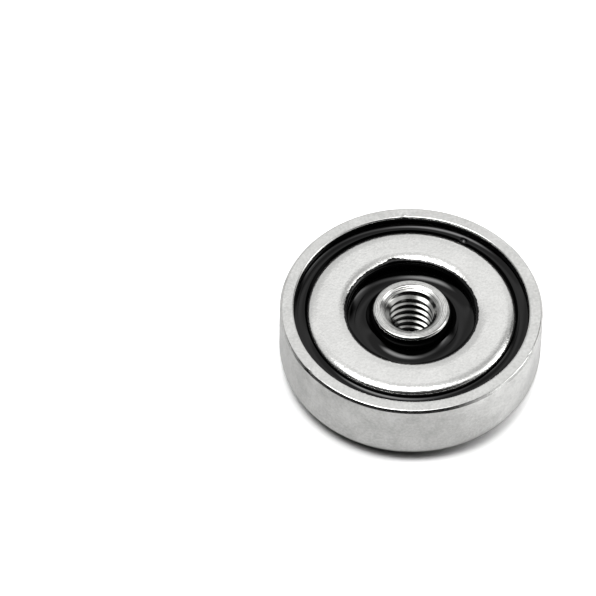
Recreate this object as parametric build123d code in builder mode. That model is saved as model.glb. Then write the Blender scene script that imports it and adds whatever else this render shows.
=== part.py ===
# Round pot magnet, 20 mm across, with a threaded bush through its middle.
# Five pieces: a drawn steel cup, a bush pressed through its floor, a ring magnet
# and the two rings of black potting resin that hold the magnet in place.
#
# Millimetres. The Z axis is the axis of the thread. The origin is the centre of
# the closed back of the cup, and +Z points to the face that grips.

from build123d import *
from math import atan2, cos, degrees, pi, radians, sin
import os

# ---- driving dimensions ----

# drawn cup
cup_diameter = 20.0
cup_height = 6.25
sheet = 1.05
back_round = 2.0  # outside radius where the floor turns into the wall
rim_bevel_width = 0.15  # steep bevel outside the rim
rim_bevel_height = 0.28
rim_bevel_round = 0.2  # where the bevel meets the flat of the rim
rim_inner_round = 0.15

# hexagon of the bush in the floor of the cup
hexagon_flats = 7.4  # across the middles of the sides
hexagon_hollow = 0.1  # how far each side bows inwards
hexagon_corner = 0.35
hexagon_gap = 0.05
roll_in_width = 0.6  # the sheet is drawn down round the pierced hole
roll_in_depth = 0.06
hexagon_recess = 0.03

# ring magnet, tumbled before plating
magnet_diameter = 15.9
magnet_bore = 9.8
magnet_recess = 0.24  # top of the magnet below the rim
magnet_round = 0.7
magnet_crown = 0.02

# threaded bush
bush_diameter = 5.9
bush_recess = 0.1
bush_edge = 0.3
collar_diameter = 9.3
collar_thickness = 0.9
collar_edge = 0.15
thread_core = 3.3  # bore of an M4 thread before it is cut
front_sink_diameter = 4.75
back_relief_diameter = 4.4
back_relief_depth = 0.5
back_mouth_edge = 0.08

# potting resin: its open surfaces are hollow, and climb each wall that they wet
outer_wet_depth = 0.16  # where the outer resin ends on the cup, below the rim
inner_depth = 2.0  # bottom of the inner hollow below the rim
shank_film = 0.05  # film of resin left on the bush's shank above the hollow
film_end_angle = 65  # how far round the bush's top edge the film reaches, in degrees
film_end_slope = 0.5  # how fast it thins out there

# ---- derived sizes ----

cup_radius = cup_diameter / 2
bore_of_cup = cup_radius - sheet
inner_round = back_round - sheet
magnet_outer = magnet_diameter / 2
magnet_inner = magnet_bore / 2
magnet_top = cup_height - magnet_recess
bush_radius = bush_diameter / 2
bush_top = cup_height - bush_recess
collar_top = sheet + collar_thickness
core_radius = thread_core / 2
front_sink = (front_sink_diameter - thread_core) / 2  # a 90 degree countersink
relief_radius = back_relief_diameter / 2
back_sink = relief_radius - core_radius
relief_floor = hexagon_recess + back_relief_depth
inside_bush = (front_sink_diameter / 2 + bush_radius) / 2
magnet_edge_radius = magnet_outer - magnet_round  # centre of its outer top edge round
magnet_edge_height = magnet_top - magnet_crown - magnet_round

# outer hollow: one arc that touches the wall of the cup and the magnet's edge round
groove = bore_of_cup - magnet_edge_radius
outer_hollow_height = cup_height - outer_wet_depth
outer_rise = outer_hollow_height - magnet_edge_height
outer_hollow = (groove**2 + outer_rise**2 - magnet_round**2) / (2 * (groove + magnet_round))
outer_wet_angle = degrees(atan2(groove - outer_hollow, outer_rise))

# inner hollow: one arc from the magnet's bore to the film on the shank
film_radius = bush_radius + shank_film
inner_hollow = (magnet_inner - film_radius) / 2
inner_hollow_height = cup_height - inner_depth + inner_hollow
film_end_radius = bush_radius - bush_edge + bush_edge * sin(radians(film_end_angle))
film_end_height = bush_top - bush_edge + bush_edge * cos(radians(film_end_angle))
film_top = film_end_height - (film_radius - film_end_radius) / film_end_slope


def hexagon(height, growth):
    """The bush's hexagon, grown by a distance all round, at a height above the back."""
    corner_radius = (hexagon_flats / 2 + hexagon_hollow + growth) / cos(pi / 6)
    middle_radius = hexagon_flats / 2 + growth
    with BuildSketch(Plane.XY.offset(height)) as outline:
        with BuildLine():
            for side in range(6):
                start = pi / 6 + side * pi / 3
                middle = start + pi / 6
                end = start + pi / 3
                ThreePointArc(
                    (corner_radius * cos(start), corner_radius * sin(start)),
                    (middle_radius * cos(middle), middle_radius * sin(middle)),
                    (corner_radius * cos(end), corner_radius * sin(end)),
                )
        make_face()
        fillet(vertices(), radius=hexagon_corner + growth)
    return outline.sketch


# ---- drawn steel cup ----

with BuildPart() as cup:
    with BuildSketch(Plane.XZ):
        with BuildLine():
            Polyline(
                (0, 0),
                (cup_radius, 0),
                (cup_radius, cup_height - rim_bevel_height),
                (cup_radius - rim_bevel_width, cup_height),
                (bore_of_cup, cup_height),
                (bore_of_cup, sheet),
                (0, sheet),
                close=True,
            )
        make_face()
        bore_corners, bevel_corners, outer_corners = vertices().group_by(Axis.X)[1:]
        fillet(outer_corners.sort_by(Axis.Y)[0], radius=back_round)
        fillet(bevel_corners, radius=rim_bevel_round)
        fillet(bore_corners.sort_by(Axis.Y)[0], radius=inner_round)
        fillet(bore_corners.sort_by(Axis.Y)[-1], radius=rim_inner_round)
    revolve(axis=Axis.Z)
    # hexagonal hole for the bush
    extrude(hexagon(0, hexagon_gap), amount=sheet, mode=Mode.SUBTRACT)
    # the sheet rolls in towards the hole on the back
    loft(
        [hexagon(0, hexagon_gap + roll_in_width), hexagon(roll_in_depth, hexagon_gap)],
        mode=Mode.SUBTRACT,
    )

# ---- threaded bush: hexagon, hidden collar, shank and bore ----

with BuildPart() as bush:
    extrude(hexagon(hexagon_recess, 0), amount=sheet - hexagon_recess)
    with BuildSketch(Plane.XY.offset(sheet)):
        Circle(collar_diameter / 2)
    extrude(amount=collar_thickness)
    chamfer(edges().group_by(Axis.Z)[-1], length=collar_edge)
    with BuildSketch(Plane.XY.offset(collar_top)):
        Circle(bush_radius)
    extrude(amount=bush_top - collar_top)
    fillet(edges().group_by(Axis.Z)[-1], radius=bush_edge)
    # bore with a countersink at the front, and a relief and a cone at the back
    with BuildSketch(Plane.XZ):
        with BuildLine():
            Polyline(
                (0, 0),
                (relief_radius + back_mouth_edge, 0),
                (relief_radius + back_mouth_edge, hexagon_recess),
                (relief_radius, hexagon_recess + back_mouth_edge),
                (relief_radius, relief_floor),
                (core_radius, relief_floor + back_sink),
                (core_radius, bush_top - front_sink),
                (front_sink_diameter / 2, bush_top),
                (0, bush_top),
                close=True,
            )
        make_face()
    revolve(axis=Axis.Z, mode=Mode.SUBTRACT)

# ---- ring magnet ----

with BuildPart() as magnet:
    with BuildSketch(Plane.XZ):
        with BuildLine():
            crown = ThreePointArc(
                (magnet_inner, magnet_top - magnet_crown),
                ((magnet_inner + magnet_outer) / 2, magnet_top),
                (magnet_outer, magnet_top - magnet_crown),
            )
            Polyline(crown @ 1, (magnet_outer, sheet), (magnet_inner, sheet), crown @ 0)
        make_face()
        fillet(vertices(), radius=magnet_round)
    revolve(axis=Axis.Z)

# ---- potting resin: fills what the solid pieces leave ----

with BuildPart() as outer_resin:
    with BuildSketch(Plane.XZ):
        with BuildLine():
            surface = CenterArc(
                (bore_of_cup - outer_hollow, outer_hollow_height),
                outer_hollow,
                270 - outer_wet_angle,
                90 + outer_wet_angle,
            )
            Polyline(
                surface @ 1,
                (bore_of_cup + sheet / 2, outer_hollow_height),
                (bore_of_cup + sheet / 2, sheet),
                (magnet_edge_radius, sheet),
                (magnet_edge_radius, magnet_edge_height),
                surface @ 0,
            )
        make_face()
    revolve(axis=Axis.Z)
    add(cup.part, mode=Mode.SUBTRACT)
    add(magnet.part, mode=Mode.SUBTRACT)

with BuildPart() as inner_resin:
    with BuildSketch(Plane.XZ):
        with BuildLine():
            surface = CenterArc(
                (film_radius + inner_hollow, inner_hollow_height), inner_hollow, 180, 180
            )
            Polyline(
                surface @ 1,
                (magnet_inner + magnet_round, inner_hollow_height),
                (magnet_inner + magnet_round, sheet),
                (inside_bush, sheet),
                (inside_bush, film_end_height),
                (film_end_radius, film_end_height),
                (film_radius, film_top),
                surface @ 0,
            )
        make_face()
    revolve(axis=Axis.Z)
    add(magnet.part, mode=Mode.SUBTRACT)
    add(bush.part, mode=Mode.SUBTRACT)

# ---- labels and files ----

pieces = {
    "steel_cup": cup,
    "threaded_bush": bush,
    "ring_magnet": magnet,
    "outer_resin": outer_resin,
    "inner_resin": inner_resin,
}
os.makedirs("parts", exist_ok=True)
for name, piece in pieces.items():
    piece.part.label = name
    export_step(piece.part, f"parts/{name}.step")
    print(name, len(piece.part.solids()), "solid,", round(piece.part.volume, 2), "mm3")
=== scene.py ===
import math

import bpy
from mathutils import Matrix, Vector


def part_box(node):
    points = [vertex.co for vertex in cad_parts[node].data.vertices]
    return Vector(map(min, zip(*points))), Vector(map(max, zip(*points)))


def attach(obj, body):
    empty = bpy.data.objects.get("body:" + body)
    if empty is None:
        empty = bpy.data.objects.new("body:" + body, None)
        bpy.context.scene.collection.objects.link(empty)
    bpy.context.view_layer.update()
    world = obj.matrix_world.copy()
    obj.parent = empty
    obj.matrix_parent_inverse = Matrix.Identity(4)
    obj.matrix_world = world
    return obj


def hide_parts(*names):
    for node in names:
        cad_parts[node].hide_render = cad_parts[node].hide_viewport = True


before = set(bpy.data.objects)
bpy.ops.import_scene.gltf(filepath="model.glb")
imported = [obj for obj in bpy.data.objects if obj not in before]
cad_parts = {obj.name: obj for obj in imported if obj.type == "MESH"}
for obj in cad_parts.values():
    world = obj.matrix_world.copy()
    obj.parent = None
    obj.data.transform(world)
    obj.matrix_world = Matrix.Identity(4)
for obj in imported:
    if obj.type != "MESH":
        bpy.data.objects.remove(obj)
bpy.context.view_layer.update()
print("frame loaded:", sorted(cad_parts))

mm = 0.001
turnSteps = 360  # points round every ring of a mesh


# camera: a long lens about 380 mm away, looking down at the open side

view = {
    "placeMm": (-8.623, -236.350, 298.460),
    "pitchDegrees": 50.938,
    "rollDegrees": 0.904,
    "focalPixels": 4955,
    "imagePixels": 596,
    "sensorMm": 36,
}


def makeCamera():
    pitch = math.radians(view["pitchDegrees"])
    roll = math.radians(view["rollDegrees"])
    ahead = Vector((0, math.cos(pitch), -math.sin(pitch)))
    right = Vector((1, 0, 0))
    up = right.cross(ahead)
    across = math.cos(roll) * right + math.sin(roll) * up
    upwards = -math.sin(roll) * right + math.cos(roll) * up
    cameraData = bpy.data.cameras.new("camera")
    cameraData.sensor_width = view["sensorMm"]
    cameraData.lens = cameraData.sensor_width * view["focalPixels"] / view["imagePixels"]
    cameraData.clip_start = 0.01
    cameraData.clip_end = 10
    camera = bpy.data.objects.new("camera", cameraData)
    turn = Matrix((across, upwards, -ahead)).transposed().to_4x4()
    camera.matrix_world = Matrix.Translation(Vector(view["placeMm"]) * mm) @ turn
    bpy.context.scene.collection.objects.link(camera)
    bpy.context.scene.camera = camera


makeCamera()
print("camera set")


# mesh helpers

def ringOf(radius, height):
    points = []
    for step in range(turnSteps):
        angle = 2 * math.pi * step / turnSteps
        r = radius(angle) if callable(radius) else radius
        z = height(angle) if callable(height) else height
        points.append((r * math.cos(angle) * mm, r * math.sin(angle) * mm, z * mm))
    return points


def arcOf(centre, radius, startDegrees, endDegrees, steps=10):
    points = []
    for step in range(steps + 1):
        angle = math.radians(startDegrees + (endDegrees - startDegrees) * step / steps)
        points.append((centre[0] + radius * math.cos(angle), centre[1] + radius * math.sin(angle)))
    return points


def makePiece(name, points, faces, sharpDegrees=32):
    mesh = bpy.data.meshes.new(name)
    mesh.from_pydata(points, [], faces)
    mesh.validate()
    mesh.shade_smooth()
    mesh.set_sharp_from_angle(angle=math.radians(sharpDegrees))
    piece = bpy.data.objects.new(name, mesh)
    bpy.context.scene.collection.objects.link(piece)
    return piece


def skinRings(rings, closed=True):
    points = [point for ring in rings for point in ring]
    faces = []
    for row in range(len(rings) if closed else len(rings) - 1):
        below = row * turnSteps
        above = (row + 1) % len(rings) * turnSteps
        for step in range(turnSteps):
            after = (step + 1) % turnSteps
            faces.append((below + step, below + after, above + after, above + step))
    return points, faces


def boxMm(node):
    low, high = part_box(node)
    return low / mm, high / mm


cupHigh = boxMm("steel_cup")[1]
magnetLow, magnetHigh = boxMm("ring_magnet")
bushLow, bushHigh = boxMm("threaded_bush")
floorOfCup = magnetLow.z  # the magnet stands on the inside of the cup


# hexagon of the bush, as a radius for each angle

hexagon = {"flats": 7.4, "hollow": 0.1, "corner": 0.35, "gap": 0.05}


def hexagonRadius(angle, growth=0.0):
    sixth = math.pi / 3
    fromMiddle = abs((angle + sixth / 2) % sixth - sixth / 2)
    middle = hexagon["flats"] / 2 + growth
    halfSide = (middle + hexagon["hollow"]) * math.tan(sixth / 2)
    sideRadius = (hexagon["hollow"] ** 2 + halfSide ** 2) / (2 * hexagon["hollow"])
    sideCentre = middle + sideRadius
    corner = hexagon["corner"] + growth
    reach = sideCentre * math.cos(sixth / 2)
    reach -= math.sqrt((sideRadius + corner) ** 2 - (sideCentre * math.sin(sixth / 2)) ** 2)
    share = sideRadius / (sideRadius + corner)
    touchX = sideCentre + (reach * math.cos(sixth / 2) - sideCentre) * share
    touchY = reach * math.sin(sixth / 2) * share
    if fromMiddle > math.atan2(touchY, touchX):
        toCorner = sixth / 2 - fromMiddle
        return reach * math.cos(toCorner) + math.sqrt(corner ** 2 - (reach * math.sin(toCorner)) ** 2)
    return sideCentre * math.cos(fromMiddle) - math.sqrt(
        sideRadius ** 2 - (sideCentre * math.sin(fromMiddle)) ** 2
    )


# drawn steel cup

cup = {
    "backRound": 2.0,
    "bevelWidth": 0.15,
    "bevelHeight": 0.22,
    "bevelRound": 0.14,
    "rimInnerRound": 0.15,
    "rollInWidth": 0.6,
    "rollInDepth": 0.06,
    "holdWidth": 0.03,  # narrow rows beside each round keep the flats flat
}


def makeCup():
    radius = cupHigh.x
    height = cupHigh.z
    sheet = floorOfCup
    bore = radius - sheet
    backSteps, insideSteps = 24, 12
    back, inner, hold = cup["backRound"], cup["rimInnerRound"], cup["holdWidth"]
    # steep bevel outside the rim, with a round where it meets the flat
    bevelWidth, bevelHeight, bevelRound = cup["bevelWidth"], cup["bevelHeight"], cup["bevelRound"]
    bevelDegrees = math.degrees(math.atan2(bevelHeight, bevelWidth))
    roundStart = radius - bevelWidth - bevelRound * math.tan(math.radians(bevelDegrees / 2))
    profile = [(radius - back - hold, 0)]
    profile += arcOf((radius - back, back), back, -90, 0, backSteps)
    profile += [(radius, back + hold), (radius, height - bevelHeight)]
    profile += arcOf((roundStart, height - bevelRound), bevelRound, 90 - bevelDegrees, 90)
    profile += [(roundStart - hold, height), (bore + inner + hold, height)]
    profile += arcOf((bore + inner, height - inner), inner, 90, 180)
    profile += [(bore, height - inner - hold)]
    profile += arcOf((radius - back, back), back - sheet, 0, -90, insideSteps)
    rings = []
    rollSteps = 8
    for step in range(rollSteps + 1):
        share = step / rollSteps
        growth = hexagon["gap"] + cup["rollInWidth"] * share
        depth = cup["rollInDepth"] * (1 - share) ** 2
        rings.append(ringOf(lambda angle, g=growth: hexagonRadius(angle, g), depth))
    rings += [ringOf(r, z) for r, z in profile]
    rings.append(ringOf(lambda angle: hexagonRadius(angle, hexagon["gap"]), sheet))
    piece = makePiece("platedCup", *skinRings(rings))
    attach(piece, "root")
    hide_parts("steel_cup")
    return piece


# ring magnet

magnet = {
    "bore": 9.8,
    "crown": 0.02,
    "edgeWidth": 0.95,  # the tumbled top edges are wider than they are deep
    "edgeDepth": 0.5,
    "lowRound": 0.7,
}


def crownHeight(radius):
    outer, inner = magnetHigh.x, magnet["bore"] / 2
    share = (2 * radius - outer - inner) / (outer - inner)
    return magnetHigh.z - magnet["crown"] * share ** 2


def magnetEdge(side, degrees, lift=0.0):
    # point on a top edge, counted from the upright wall; side is 1 outside and -1 in the bore
    wall = magnetHigh.x if side > 0 else magnet["bore"] / 2
    wide, deep = magnet["edgeWidth"], magnet["edgeDepth"]
    across, upwards = math.cos(math.radians(degrees)), math.sin(math.radians(degrees))
    r = wall - side * wide * (1 - across)
    z = crownHeight(wall - side * wide) - deep * (1 - upwards)
    length = math.hypot(across / wide, upwards / deep)
    return r + side * lift * across / wide / length, z + lift * upwards / deep / length


def makeMagnet():
    outer, inner, low = magnetHigh.x, magnet["bore"] / 2, magnetLow.z
    soft, wide = magnet["lowRound"], magnet["edgeWidth"]
    edgeSteps, crownSteps, lowSteps = 18, 16, 8
    profile = [magnetEdge(1, 90 * step / edgeSteps) for step in range(edgeSteps + 1)]
    for step in range(1, crownSteps):
        r = outer - wide - (outer - inner - 2 * wide) * step / crownSteps
        profile.append((r, crownHeight(r)))
    profile += [magnetEdge(-1, 90 * step / edgeSteps) for step in range(edgeSteps, -1, -1)]
    profile += arcOf((inner + soft, low + soft), soft, 180, 270, lowSteps)
    profile += arcOf((outer - soft, low + soft), soft, 270, 360, lowSteps)
    piece = makePiece("ringMagnet", *skinRings([ringOf(r, z) for r, z in profile]))
    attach(piece, "root")
    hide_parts("ring_magnet")
    return piece


# threaded bush

bush = {
    "shank": 5.9,
    "shankEdge": 0.3,
    "holdWidth": 0.03,
    "collarThickness": 0.9,
    "collarEdge": 0.15,
    "core": 3.3,
    "major": 4.0,
    "pitch": 0.7,
    "rootFlat": 0.0875,
    "startDegrees": 110,  # where a groove's middle crosses the height of the origin
    "mouth": 4.8,
    "mouthWidth": 0.24,  # a flat cone, then a turned step and a narrow ledge above the thread
    "mouthDegrees": 30,
    "stepWidth": 0.03,
    "stepDegrees": 70,
    "ledgeWidth": 0.15,
    "ledgeDegrees": 25,
    "relief": 4.4,
    "reliefDepth": 0.5,
    "backMouthEdge": 0.08,
}
threadRows = 20  # rows of points along one pitch
darkerBoreReach = 2.06  # faces nearer the axis than this get the darker colour of the tapped bore
mouthShares = (0.1, 0.9, 1)  # points close to both ends of a cut keep its edges crisp


def mouthProfile(top):
    points = [(bush["mouth"] / 2, top)]
    for cut in ("mouth", "step", "ledge"):
        r, z = points[-1]
        fall = math.tan(math.radians(bush[cut + "Degrees"]))
        for share in mouthShares:
            width = share * bush[cut + "Width"]
            points.append((r - width, z - width * fall))
    return points


def threadRadius(angle, height):
    phase = height / bush["pitch"] - angle / (2 * math.pi) + bush["startDegrees"] / 360
    along = abs((phase + 0.5) % 1 - 0.5) * bush["pitch"]  # from the middle of the nearest groove
    deep = bush["major"] / 2 - max(0, along - bush["rootFlat"] / 2) * math.tan(math.radians(60))
    return max(bush["core"] / 2, deep)


def makeBush():
    low, top = bushLow.z, bushHigh.z
    collarRadius = bushHigh.x
    collarTop = floorOfCup + bush["collarThickness"]
    shank, edge, chamfer = bush["shank"] / 2, bush["shankEdge"], bush["collarEdge"]
    relief, backEdge, hold = bush["relief"] / 2, bush["backMouthEdge"], bush["holdWidth"]
    bottom = low + bush["reliefDepth"]
    mouth = mouthProfile(top)
    ledgeRadius, ledge = mouth[-1]
    # bore: rows of points follow the helix and are held between its two ends
    rowsAcross = math.ceil((ledge - bottom) / bush["pitch"] + 2) * threadRows
    columns = []
    for step in range(turnSteps):
        angle = 2 * math.pi * step / turnSteps
        column = []
        for row in range(rowsAcross + 1):
            z = bottom + bush["pitch"] * (row / threadRows - 1 + step / turnSteps)
            z = min(max(z, bottom), ledge)
            frontCone = ledgeRadius - (ledge - z)
            backCone = relief - (z - bottom)
            r = max(threadRadius(angle, z), frontCone, backCone)
            if z == ledge:
                r = ledgeRadius
            column.append((r * math.cos(angle) * mm, r * math.sin(angle) * mm, z * mm))
        columns.append(column)
    points, faces, index = [], [], {}

    def pointIndex(point):
        key = tuple(round(value / mm, 5) for value in point)
        if key not in index:
            index[key] = len(points)
            points.append(point)
        return index[key]

    def addFace(corners):
        corners = [pointIndex(corner) for corner in corners]
        corners = [c for place, c in enumerate(corners) if c != corners[place - 1]]
        if len(corners) > 2:
            faces.append(corners)

    for step in range(turnSteps):
        after = (step + 1) % turnSteps
        lift = threadRows if after == 0 else 0
        for row in range(rowsAcross - lift):
            here, there = columns[step], columns[after]
            addFace((here[row], here[row + 1], there[row + 1 + lift], there[row + lift]))
    # outside: relief, back face, hexagon, collar, shank, face and mouth
    rings = [ringOf(relief, bottom), ringOf(relief, low + backEdge), ringOf(relief + backEdge, low)]
    rings.append(ringOf(hexagonRadius, low))
    rings.append(ringOf(hexagonRadius, floorOfCup))
    profile = [(collarRadius, floorOfCup), (collarRadius, collarTop - chamfer)]
    profile += [(collarRadius - chamfer, collarTop), (shank, collarTop), (shank, top - edge - hold)]
    profile += arcOf((shank - edge, top - edge), edge, 0, 90)
    profile += [(shank - edge - hold, top), *mouth]
    rings += [ringOf(r, z) for r, z in profile]
    for ring, following in zip(rings, rings[1:]):
        for step in range(turnSteps):
            after = (step + 1) % turnSteps
            addFace((ring[step], ring[after], following[after], following[step]))
    piece = makePiece("threadedBush", points, faces, sharpDegrees=24)
    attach(piece, "root")
    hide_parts("threaded_bush")
    return piece


# potting resin: two hollow pools, with a film of resin up the metal on both sides

resin = {
    "cupEdge": 0.11,  # where the outer resin ends on the cup, below the rim
    "outerMiddle": 0.535,  # from the cup's wall to the deepest ring of the outer pool
    "outerDepth": 0.92,  # of that ring, below the rim
    "outerHollow": 0.8,  # radius of the pool's hollow surface
    "innerDepth": 1.89,
    "innerHollow": 1.36,
    "outerFilm": 0.02,  # on the magnet's side of the outer pool
    "outerClimb": 15,  # how far round the magnet's outer edge the outer film reaches, in degrees
    "climbDegrees": 40,  # how far round the magnet's inner edge the film reaches
    "climbRipple": 1.5,  # its end there is uneven, with one higher tongue
    "rippleWaves": (31, 83),
    "tongueDegrees": 18,
    "tongueAt": 105,
    "tongueWidth": 9,
    "film": 0.05,
    "corner": 0.08,  # radius between a pool and a film
    "filmEndDegrees": 65,  # how far round the bush's top edge the film reaches
    "filmEndSlope": 0.5,  # how fast it thins out there
}
poolSteps, cornerSteps, roundSteps = 32, 4, 8


def poolCorner(centre, hollow, wall):
    # round that touches an upright film and the pool's arc from inside
    corner = resin["corner"]
    x = wall - corner if wall > centre[0] else wall + corner
    return x, centre[1] - math.sqrt((hollow - corner) ** 2 - (x - centre[0]) ** 2)


def degreesFrom(centre, point):
    return math.degrees(math.atan2(point[1] - centre[1], point[0] - centre[0]))


def makeOuterResin():
    soft, wall, bore = magnet["lowRound"], magnetHigh.x, cupHigh.x - floorOfCup
    back, hollow, film, corner = cup["backRound"], resin["outerHollow"], resin["film"], resin["corner"]
    pool = (bore - resin["outerMiddle"], cupHigh.z - resin["outerDepth"] + hollow)
    bend = poolCorner(pool, hollow, bore - film)
    inner = poolCorner(pool, hollow, wall + resin["outerFilm"])
    profile = arcOf((cupHigh.x - back, back), back - floorOfCup, -90, 0, roundSteps)
    profile += [(bore, cupHigh.z - resin["cupEdge"])]
    profile += arcOf(bend, corner, 0, degreesFrom(pool, bend), cornerSteps)
    profile += arcOf(pool, hollow, degreesFrom(pool, bend), degreesFrom(pool, inner), poolSteps)[1:]
    profile += arcOf(inner, corner, degreesFrom(pool, inner), -180, cornerSteps)[1:]
    climbSteps = 5
    for step in range(climbSteps + 1):
        share = step / climbSteps
        lift = resin["outerFilm"] * (1 - share ** 3)
        profile.append(magnetEdge(1, share * resin["outerClimb"], lift))
    profile.append(magnetEdge(1, 0))
    profile += arcOf((wall - soft, floorOfCup + soft), soft, 0, -90, roundSteps)
    piece = makePiece("outerResin", *skinRings([ringOf(r, z) for r, z in profile]))
    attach(piece, "root")
    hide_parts("outer_resin")
    return piece


def climb(angle):
    away = (math.degrees(angle) - resin["tongueAt"]) / resin["tongueWidth"]
    uneven = sum(math.sin(waves * angle) for waves in resin["rippleWaves"]) * resin["climbRipple"]
    return resin["climbDegrees"] + uneven + resin["tongueDegrees"] * math.exp(-away ** 2)


def climbRing(share):
    # ring on the film over the magnet's inner edge, which thins out to nothing at its end
    lift = resin["film"] * (1 - share ** 3)

    def radius(angle):
        return magnetEdge(-1, share * climb(angle), lift)[0]

    def height(angle):
        return magnetEdge(-1, share * climb(angle), lift)[1]

    return ringOf(radius, height)


def makeInnerResin():
    soft, wall, shank = magnet["lowRound"], magnet["bore"] / 2, bush["shank"] / 2
    film, corner, hollow = resin["film"], resin["corner"], resin["innerHollow"]
    pool = ((wall + shank) / 2, cupHigh.z - resin["innerDepth"] + hollow)
    outside = poolCorner(pool, hollow, wall - film)
    inside = poolCorner(pool, hollow, shank + film)
    turns = degreesFrom(pool, outside), degreesFrom(pool, inside)
    edge, turned = bush["shankEdge"], math.radians(resin["filmEndDegrees"])
    endR, endZ = shank - edge + edge * math.sin(turned), bushHigh.z - edge + edge * math.cos(turned)
    collarTop = floorOfCup + bush["collarThickness"]
    start = [(bushHigh.x, floorOfCup)]
    start += arcOf((wall + soft, floorOfCup + soft), soft, 270, 180, roundSteps)
    profile = arcOf(outside, corner, 0, turns[0], cornerSteps)
    profile += arcOf(pool, hollow, *turns, poolSteps)[1:]
    profile += arcOf(inside, corner, turns[1], -180, cornerSteps)[1:]
    profile += [(shank + film, endZ - (shank + film - endR) / resin["filmEndSlope"]), (endR, endZ)]
    profile += [(shank, bushHigh.z - edge), (shank, collarTop)]
    profile += [(bushHigh.x - bush["collarEdge"], collarTop), (bushHigh.x, collarTop - bush["collarEdge"])]
    climbSteps = 8
    rings = [ringOf(r, z) for r, z in start]
    rings.append(ringOf(*magnetEdge(-1, 0)))
    rings += [climbRing(1 - step / climbSteps) for step in range(climbSteps + 1)]
    rings += [ringOf(r, z) for r, z in profile]
    piece = makePiece("innerResin", *skinRings(rings))
    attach(piece, "root")
    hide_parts("inner_resin")
    return piece


cupPiece = makeCup()
magnetPiece = makeMagnet()
bushPiece = makeBush()
outerResinPiece = makeOuterResin()
innerResinPiece = makeInnerResin()


# nicks in the metal and specks in the resin: each has a place (radius, degrees, height), how far
# it reaches, and the push (outwards, upwards) at its middle

marks = (
    (cupPiece, (9.98, 219.0, 6.2), 0.3, (-0.06, -0.09)),
    (cupPiece, (9.02, 93.3, 6.22), 0.22, (0.07, -0.05)),
    (cupPiece, (9.95, 334.0, 6.2), 0.22, (-0.04, -0.06)),
    (bushPiece, (2.5, 273.3, 6.15), 0.16, (0.0, -0.05)),
    (outerResinPiece, (8.5, 61.5, 5.35), 0.26, (0.04, 0.16)),
    (outerResinPiece, (7.86, 322.7, 5.7), 0.34, (0.04, 0.09)),
    (innerResinPiece, (2.99, 183.4, 5.7), 0.14, (0.06, 0.04)),
)


def markPiece(piece, place, reach, push):
    radius, degrees, height = place
    outwards = Vector((math.cos(math.radians(degrees)), math.sin(math.radians(degrees)), 0))
    centre = outwards * radius + Vector((0, 0, height))
    for vertex in piece.data.vertices:
        near = 1 - ((vertex.co / mm - centre).length / reach) ** 2
        if near > 0:
            vertex.co += (outwards * push[0] + Vector((0, 0, push[1]))) * near ** 2 * mm


for mark in marks:
    markPiece(*mark)
print("meshes made")


# materials

def linear(hexColour):
    values = []
    for place in (1, 3, 5):
        value = int(hexColour[place:place + 2], 16) / 255
        values.append(value / 12.92 if value <= 0.04045 else ((value + 0.055) / 1.055) ** 2.4)
    return (*values, 1)


def addNode(tree, kind, settings=None, values=None, links=None):
    node = tree.nodes.new(kind)
    for key, value in (settings or {}).items():
        setattr(node, key, value)
    for socket, value in (values or {}).items():
        node.inputs[socket].default_value = value
    for socket, source in (links or {}).items():
        tree.links.new(source, node.inputs[socket])
    return node


def newMaterial(name):
    material = bpy.data.materials.new(name)
    material.use_nodes = True
    material.node_tree.nodes.clear()
    return material, material.node_tree


noiseLow, noiseHigh = 0.3, 0.7  # the values that a noise texture really takes
bumpStrength = 0.5


# nickel on drawn steel: the sheet's grain stays in the plate, and the plate is cloudy where it
# came out of the barrel unevenly. Grain and clouds are both light and dark, and slightly wavy
cupFinish = {
    "dark": "#CBCBC9", "light": "#F6F6F4", "roughness": 0.2, "grainMm": 0.2, "cloudMm": 1.6,
    "cloudShare": 0.55, "grainBumpMm": 0.012, "cloudBumpMm": 0.024, "grainDetail": 2, "cloudDetail": 3,
    "rim": "#E6E6E4", "rimShare": 0.4, "rimFadeMm": 0.1,
}


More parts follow.
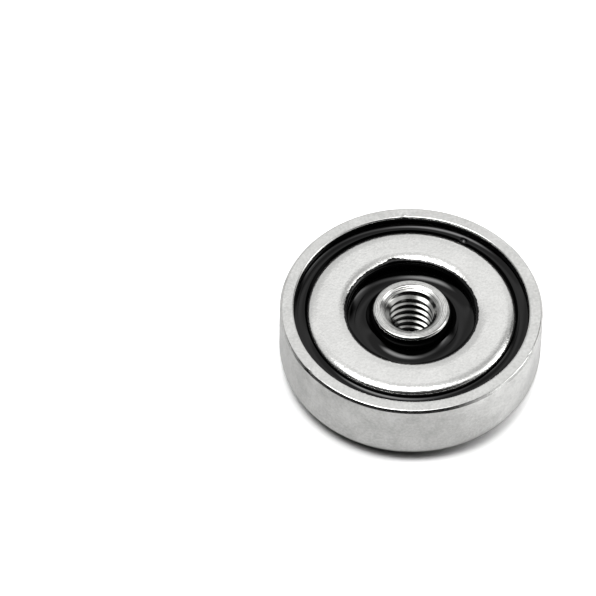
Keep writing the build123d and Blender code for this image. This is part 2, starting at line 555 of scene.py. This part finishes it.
def cupNickel():
    material, tree = newMaterial("satinNickelPlate")
    place = addNode(tree, "ShaderNodeTexCoord").outputs["Object"]
    grain = addNode(
        tree, "ShaderNodeTexNoise",
        values={"Scale": 1 / (cupFinish["grainMm"] * mm), "Detail": cupFinish["grainDetail"]},
        links={"Vector": place},
    )
    cloud = addNode(
        tree, "ShaderNodeTexNoise",
        values={"Scale": 1 / (cupFinish["cloudMm"] * mm), "Detail": cupFinish["cloudDetail"]},
        links={"Vector": place},
    )
    both = addNode(
        tree, "ShaderNodeMix", {"data_type": "FLOAT"}, {"Factor": cupFinish["cloudShare"]},
        {"A": grain.outputs["Fac"], "B": cloud.outputs["Fac"]},
    )
    spread = addNode(
        tree, "ShaderNodeMapRange", values={"From Min": noiseLow, "From Max": noiseHigh},
        links={"Value": both.outputs["Result"]},
    )
    sheetTone = addNode(
        tree, "ShaderNodeMix", {"data_type": "RGBA"},
        {"A": linear(cupFinish["dark"]), "B": linear(cupFinish["light"])},
        {"Factor": spread.outputs["Result"]},
    )
    # the rim is cut flat, so it is more even than the drawn sheet
    height = addNode(tree, "ShaderNodeSeparateXYZ", links={"Vector": place}).outputs["Z"]
    rimShare = addNode(
        tree, "ShaderNodeMapRange",
        values={
            "From Min": (cupHigh.z - cupFinish["rimFadeMm"]) * mm, "From Max": cupHigh.z * mm,
            "To Max": cupFinish["rimShare"],
        },
        links={"Value": height},
    ).outputs["Result"]
    tone = addNode(
        tree, "ShaderNodeMix", {"data_type": "RGBA"}, {"B": linear(cupFinish["rim"])},
        {"A": sheetTone.outputs["Result"], "Factor": rimShare},
    )
    grainStrength = addNode(
        tree, "ShaderNodeMapRange", values={"To Min": bumpStrength, "To Max": 0.0}, links={"Value": rimShare}
    )
    grainBump = addNode(
        tree, "ShaderNodeBump", values={"Distance": cupFinish["grainBumpMm"] * mm},
        links={"Height": grain.outputs["Fac"], "Strength": grainStrength.outputs["Result"]},
    )
    cloudBump = addNode(
        tree, "ShaderNodeBump",
        values={"Strength": bumpStrength, "Distance": cupFinish["cloudBumpMm"] * mm},
        links={"Height": cloud.outputs["Fac"], "Normal": grainBump.outputs["Normal"]},
    )
    shader = addNode(
        tree, "ShaderNodeBsdfPrincipled", values={"Metallic": 1.0, "Roughness": cupFinish["roughness"]},
        links={"Base Color": tone.outputs["Result"], "Normal": cloudBump.outputs["Normal"]},
    )
    addNode(tree, "ShaderNodeOutputMaterial", links={"Surface": shader.outputs["BSDF"]})
    return material


# nickel on a sintered magnet: brighter than the cup, with the pores of the sinter under the plate
magnetFinish = {
    "dark": "#E6E6E4", "light": "#FAFAF8", "roughness": 0.21, "poreMm": 0.18, "poreBumpMm": 0.03,
    "cloudMm": 1.8, "cloudShare": 0.4, "poreDetail": 3, "cloudDetail": 2,
}


def magnetNickel():
    material, tree = newMaterial("brightNickelPlate")
    place = addNode(tree, "ShaderNodeTexCoord").outputs["Object"]
    pores = addNode(
        tree, "ShaderNodeTexNoise",
        values={"Scale": 1 / (magnetFinish["poreMm"] * mm), "Detail": magnetFinish["poreDetail"]},
        links={"Vector": place},
    )
    cloud = addNode(
        tree, "ShaderNodeTexNoise",
        values={"Scale": 1 / (magnetFinish["cloudMm"] * mm), "Detail": magnetFinish["cloudDetail"]},
        links={"Vector": place},
    )
    both = addNode(
        tree, "ShaderNodeMix", {"data_type": "FLOAT"}, {"Factor": magnetFinish["cloudShare"]},
        {"A": pores.outputs["Fac"], "B": cloud.outputs["Fac"]},
    )
    spread = addNode(
        tree, "ShaderNodeMapRange", values={"From Min": noiseLow, "From Max": noiseHigh},
        links={"Value": both.outputs["Result"]},
    )
    tone = addNode(
        tree, "ShaderNodeMix", {"data_type": "RGBA"},
        {"A": linear(magnetFinish["dark"]), "B": linear(magnetFinish["light"])},
        {"Factor": spread.outputs["Result"]},
    )
    bump = addNode(
        tree, "ShaderNodeBump",
        values={"Strength": bumpStrength, "Distance": magnetFinish["poreBumpMm"] * mm},
        links={"Height": pores.outputs["Fac"]},
    )
    shader = addNode(
        tree, "ShaderNodeBsdfPrincipled", values={"Metallic": 1.0, "Roughness": magnetFinish["roughness"]},
        links={"Base Color": tone.outputs["Result"], "Normal": bump.outputs["Normal"]},
    )
    addNode(tree, "ShaderNodeOutputMaterial", links={"Surface": shader.outputs["BSDF"]})
    return material


# nickel on turned steel: the lathe tool's rings round the axis, which spread the light outwards.
# The real rings are about half as wide, and are drawn this wide so that they show
bushFinish = {
    "dark": "#B0B0AE", "light": "#FAFAF8", "roughness": 0.2, "ringMm": 0.13, "ringShare": 0.6,
    "ringBumpMm": 0.01, "ringWander": 0.6, "ringDetail": 2, "grainMm": 0.16, "grainBumpMm": 0.012,
    "grainDetail": 3,
}
waveLength = math.pi / 10  # of a wave texture whose scale is 1


def bushNickel():
    material, tree = newMaterial("turnedNickelPlate")
    place = addNode(tree, "ShaderNodeTexCoord").outputs["Object"]
    rings = addNode(
        tree, "ShaderNodeTexWave", {"wave_type": "RINGS", "rings_direction": "Z"},
        {
            "Scale": waveLength / (bushFinish["ringMm"] * mm), "Detail": bushFinish["ringDetail"],
            "Distortion": bushFinish["ringWander"], "Detail Scale": bushFinish["ringWander"],
        },
        {"Vector": place},
    )
    grain = addNode(
        tree, "ShaderNodeTexNoise",
        values={"Scale": 1 / (bushFinish["grainMm"] * mm), "Detail": bushFinish["grainDetail"]},
        links={"Vector": place},
    )
    spread = addNode(
        tree, "ShaderNodeMapRange", values={"From Min": noiseLow, "From Max": noiseHigh},
        links={"Value": grain.outputs["Fac"]},
    )
    ringed = addNode(
        tree, "ShaderNodeMix", {"data_type": "FLOAT"}, {"Factor": bushFinish["ringShare"]},
        {"A": spread.outputs["Result"], "B": rings.outputs["Fac"]},
    )
    tone = addNode(
        tree, "ShaderNodeMix", {"data_type": "RGBA"},
        {"A": linear(bushFinish["dark"]), "B": linear(bushFinish["light"])},
        {"Factor": ringed.outputs["Result"]},
    )
    ringBump = addNode(
        tree, "ShaderNodeBump", values={"Strength": bumpStrength, "Distance": bushFinish["ringBumpMm"] * mm},
        links={"Height": rings.outputs["Fac"]},
    )
    bump = addNode(
        tree, "ShaderNodeBump", values={"Strength": bumpStrength, "Distance": bushFinish["grainBumpMm"] * mm},
        links={"Height": grain.outputs["Fac"], "Normal": ringBump.outputs["Normal"]},
    )
    shader = addNode(
        tree, "ShaderNodeBsdfPrincipled", values={"Metallic": 1.0, "Roughness": bushFinish["roughness"]},
        links={"Base Color": tone.outputs["Result"], "Normal": bump.outputs["Normal"]},
    )
    addNode(tree, "ShaderNodeOutputMaterial", links={"Surface": shader.outputs["BSDF"]})
    return material


# the faces inside the tapped bore are coloured darker than the plate
threadFinish = {"colour": "#989896", "roughness": 0.14}


def darkerBoreColour():
    material, tree = newMaterial("darkerTappedBore")
    shader = addNode(
        tree, "ShaderNodeBsdfPrincipled",
        values={"Base Color": linear(threadFinish["colour"]), "Metallic": 1.0,
                "Roughness": threadFinish["roughness"]},
    )
    addNode(tree, "ShaderNodeOutputMaterial", links={"Surface": shader.outputs["BSDF"]})
    return material


# black casting epoxy, poured and cured: a wet, even gloss with hardly any colour of its own
epoxyFinish = {"colour": "#020202", "roughness": 0.05, "ior": 1.39}


def blackEpoxy():
    material, tree = newMaterial("blackPottingEpoxy")
    shader = addNode(
        tree, "ShaderNodeBsdfPrincipled",
        values={"Base Color": linear(epoxyFinish["colour"]), "Roughness": epoxyFinish["roughness"],
                "IOR": epoxyFinish["ior"]},
    )
    addNode(tree, "ShaderNodeOutputMaterial", links={"Surface": shader.outputs["BSDF"]})
    return material


cupPiece.data.materials.append(cupNickel())
magnetPiece.data.materials.append(magnetNickel())
bushPiece.data.materials.append(bushNickel())
bushPiece.data.materials.append(darkerBoreColour())
for face in bushPiece.data.polygons:
    face.material_index = int(math.hypot(*face.center[:2]) < darkerBoreReach * mm)
epoxy = blackEpoxy()
outerResinPiece.data.materials.append(epoxy)
innerResinPiece.data.materials.append(epoxy)
print("materials made")


# floor and studio light

paper = {
    "halfMm": 2000,
    "tone": "#CFCFCF",  # as it lights the object
    "seenTone": 1.4,  # as the eye sees it, so that it is white past the shadow
    "gapMm": 10,  # how far the painted shade in the gap under the cup's round edge reaches
    "gapFrom": 0.2,
    "gapTo": 0.52,
    "gapTone": 0.03,
    "gapSamples": 16,
    "shadeFadeMm": (-2, 9),  # to the right of this the painted shade in the gap fades out
    "glowMm": (4, 12),  # and to the right of this the paper is painted brighter
    "glow": 1.5,
}


def makeFloor():
    half = paper["halfMm"] * mm
    mesh = bpy.data.meshes.new("floor")
    corners = [(-half, -half, 0), (half, -half, 0), (half, half, 0), (-half, half, 0)]
    mesh.from_pydata(corners, [], [(0, 1, 2, 3)])
    floor = bpy.data.objects.new("floor", mesh)
    bpy.context.scene.collection.objects.link(floor)
    material, tree = newMaterial("whitePaper")
    # painted shade: the paper is darkened by ambient occlusion in the narrow gap under the round edge of the
    # cup
    near = addNode(
        tree, "ShaderNodeAmbientOcclusion", {"samples": paper["gapSamples"]},
        {"Distance": paper["gapMm"] * mm},
    )
    gapShade = addNode(
        tree, "ShaderNodeMapRange", {"interpolation_type": "SMOOTHSTEP"},
        {"From Min": paper["gapFrom"], "From Max": paper["gapTo"], "To Min": paper["gapTone"]},
        {"Value": near.outputs["AO"]},
    )
    rays = addNode(tree, "ShaderNodeLightPath")
    whole = addNode(
        tree, "ShaderNodeMix", {"data_type": "FLOAT"},
        {"A": linear(paper["tone"])[0], "B": paper["seenTone"]},
        {"Factor": rays.outputs["Is Camera Ray"]},
    )
    # painted by place, and not cast by a lamp: hardly any shadow on the right, and brighter paper
    place = addNode(tree, "ShaderNodeTexCoord").outputs["Object"]
    across = addNode(tree, "ShaderNodeSeparateXYZ", links={"Vector": place}).outputs["X"]
    gapShadeFade = addNode(
        tree, "ShaderNodeMapRange", {"interpolation_type": "SMOOTHSTEP"},
        {"From Min": paper["shadeFadeMm"][0] * mm, "From Max": paper["shadeFadeMm"][1] * mm}, {"Value": across},
    )
    paintedGlow = addNode(
        tree, "ShaderNodeMapRange", {"interpolation_type": "SMOOTHSTEP"},
        {"From Min": paper["glowMm"][0] * mm, "From Max": paper["glowMm"][1] * mm,
         "To Min": 1.0, "To Max": paper["glow"]},
        {"Value": across},
    )
    clear = addNode(
        tree, "ShaderNodeMath", {"operation": "MAXIMUM"},
        links={0: gapShade.outputs["Result"], 1: gapShadeFade.outputs["Result"]},
    )
    # painted shade and painted brighter paper together, multiplied into the paper's colour for every ray
    paintedShadeAndGlow = addNode(
        tree, "ShaderNodeMath", {"operation": "MULTIPLY"},
        links={0: paintedGlow.outputs["Result"], 1: clear.outputs["Value"]},
    )
    colour = addNode(
        tree, "ShaderNodeMath", {"operation": "MULTIPLY"},
        links={0: whole.outputs["Result"], 1: paintedShadeAndGlow.outputs["Value"]},
    )
    shader = addNode(tree, "ShaderNodeBsdfDiffuse", links={"Color": colour.outputs["Value"]})
    addNode(tree, "ShaderNodeOutputMaterial", links={"Surface": shader.outputs["BSDF"]})
    mesh.materials.append(material)


# studio: soft panels seen from the object, each a rectangle on a plane one unit away.
# facing is the way to the plane, across and along are its two axes, and every size is a tangent

panels = {
    "overheadSoftbox": {
        "facing": (0, 0, 1), "across": (1, 0, 0), "along": (0, 1, 0),
        "centre": (1.35, 0.24), "half": (3.75, 0.52), "soft": (0.45, 0.22), "strength": 0.64,
    },
    "leftLamp": {
        "facing": (0, 0, 1), "across": (1, 0, 0), "along": (0, 1, 0),
        "centre": (-0.28, -0.16), "half": (0.34, 0.17), "soft": (0.24, 0.16), "strength": 8.96,
    },
    "lampBridge": {
        "facing": (0, 0, 1), "across": (1, 0, 0), "along": (0, 1, 0),
        "centre": (0.42, -0.16), "half": (0.4, 0.14), "soft": (0.3, 0.12), "strength": 1.44,
    },
    "rightLamp": {
        "facing": (0, 0, 1), "across": (1, 0, 0), "along": (0, 1, 0),
        "centre": (1.6, 0.19), "half": (0.8, 0.33), "soft": (0.45, 0.18), "strength": 4.4,
    },
    "rightCard": {
        "facing": (1, 0, 0), "across": (0, 1, 0), "along": (0, 0, 1),
        "centre": (0.1, 0.22), "half": (0.65, 0.2), "soft": (0.12, 0.1), "strength": 0.8,
    },
    "frontRightCard": {
        "facing": (0.743, -0.669, 0), "across": (0.669, 0.743, 0), "along": (0, 0, 1),
        "centre": (0.2, 0.3), "half": (0.3, 0.24), "soft": (0.2, 0.16), "strength": 0.48,
    },
    "backCardLeft": {
        "facing": (0, 1, 0), "across": (1, 0, 0), "along": (0, 0, 1),
        "centre": (-1.0, 0.5), "half": (1.25, 1.2), "soft": (0.45, 0.4), "strength": 0.592,
    },
    "backCardRight": {
        "facing": (0, 1, 0), "across": (1, 0, 0), "along": (0, 0, 1),
        "centre": (0.66, 0.35), "half": (0.52, 1.05), "soft": (0.4, 0.24), "strength": 0.72,
    },
}
# each flag dims the panels behind it: a narrow gap across the softbox, the camera on its stand,
# and a strip that runs out to the right and the back
flags = {
    "lampGap": {
        "facing": (0, 0, 1), "across": (1, 0, 0), "along": (0, 1, 0),
        "centre": (0.6, 0.62), "half": (0.05, 0.3), "soft": (0.05, 0.12), "strength": 0.9,
    },
    "cameraStand": {
        "facing": (0, 0, 1), "across": (1, 0, 0), "along": (0, 1, 0),
        "centre": (0.03, -0.56), "half": (0.15, 0.22), "soft": (0.06, 0.1), "strength": 1.0,
    },
    "backGap": {
        "facing": (0, 0, 1), "across": (0.825, 0.565, 0), "along": (-0.565, 0.825, 0),
        "centre": (20.37, -0.26), "half": (20, 0.42), "soft": (0.27, 0.28), "strength": 0.64,
    },
}
roomLevel = 0.0096
leastAhead = 0.001  # keeps the slopes finite beside and behind a panel


def panelMask(tree, direction, panel):
    ahead = addNode(
        tree, "ShaderNodeVectorMath", {"operation": "DOT_PRODUCT"}, {1: panel["facing"]}, {0: direction}
    )
    held = addNode(
        tree, "ShaderNodeMath", {"operation": "MAXIMUM"}, {1: leastAhead}, {0: ahead.outputs["Value"]}
    )
    mask = addNode(
        tree, "ShaderNodeMath", {"operation": "GREATER_THAN"}, {1: 0.0}, {0: ahead.outputs["Value"]}
    )
    for axis, centre, half, soft in zip(("across", "along"), panel["centre"], panel["half"], panel["soft"]):
        aside = addNode(
            tree, "ShaderNodeVectorMath", {"operation": "DOT_PRODUCT"}, {1: panel[axis]}, {0: direction}
        )
        slope = addNode(
            tree, "ShaderNodeMath", {"operation": "DIVIDE"},
            links={0: aside.outputs["Value"], 1: held.outputs["Value"]},
        )
        fromCentre = addNode(
            tree, "ShaderNodeMath", {"operation": "SUBTRACT"}, {1: centre}, {0: slope.outputs["Value"]}
        )
        distance = addNode(
            tree, "ShaderNodeMath", {"operation": "ABSOLUTE"}, links={0: fromCentre.outputs["Value"]}
        )
        edge = addNode(
            tree, "ShaderNodeMapRange", {"interpolation_type": "SMOOTHSTEP"},
            {"From Min": half + soft, "From Max": half - soft}, {"Value": distance.outputs["Value"]},
        )
        mask = addNode(
            tree, "ShaderNodeMath", {"operation": "MULTIPLY"},
            links={0: mask.outputs["Value"], 1: edge.outputs["Result"]},
        )
    return mask


def makeWorld():
    world = bpy.data.worlds.new("studio")
    world.use_nodes = True
    tree = world.node_tree
    tree.nodes.clear()
    direction = addNode(tree, "ShaderNodeTexCoord").outputs["Generated"]
    light = addNode(tree, "ShaderNodeMath", {"operation": "ADD"}, {0: 0.0, 1: 0.0})
    for panel in panels.values():
        mask = panelMask(tree, direction, panel)
        light = addNode(
            tree, "ShaderNodeMath", {"operation": "MULTIPLY_ADD"}, {1: panel["strength"]},
            {0: mask.outputs["Value"], 2: light.outputs["Value"]},
        )
    for flag in flags.values():
        shade = panelMask(tree, direction, flag)
        passed = addNode(
            tree, "ShaderNodeMapRange", values={"To Min": 1.0, "To Max": 1 - flag["strength"]},
            links={"Value": shade.outputs["Value"]},
        )
        light = addNode(
            tree, "ShaderNodeMath", {"operation": "MULTIPLY"},
            links={0: light.outputs["Value"], 1: passed.outputs["Result"]},
        )
    lit = addNode(tree, "ShaderNodeMath", {"operation": "ADD"}, {1: roomLevel}, {0: light.outputs["Value"]})
    # the eye sees a white background past the floor
    rays = addNode(tree, "ShaderNodeLightPath")
    strength = addNode(
        tree, "ShaderNodeMix", {"data_type": "FLOAT"}, {"B": 1.0},
        {"Factor": rays.outputs["Is Camera Ray"], "A": lit.outputs["Value"]},
    )
    background = addNode(
        tree, "ShaderNodeBackground", values={"Color": (1, 1, 1, 1)},
        links={"Strength": strength.outputs["Result"]},
    )
    addNode(tree, "ShaderNodeOutputWorld", links={"Surface": background.outputs["Background"]})
    bpy.context.scene.world = world


makeFloor()
makeWorld()
bpy.context.scene.view_settings.view_transform = "Standard"
print("floor and light set")
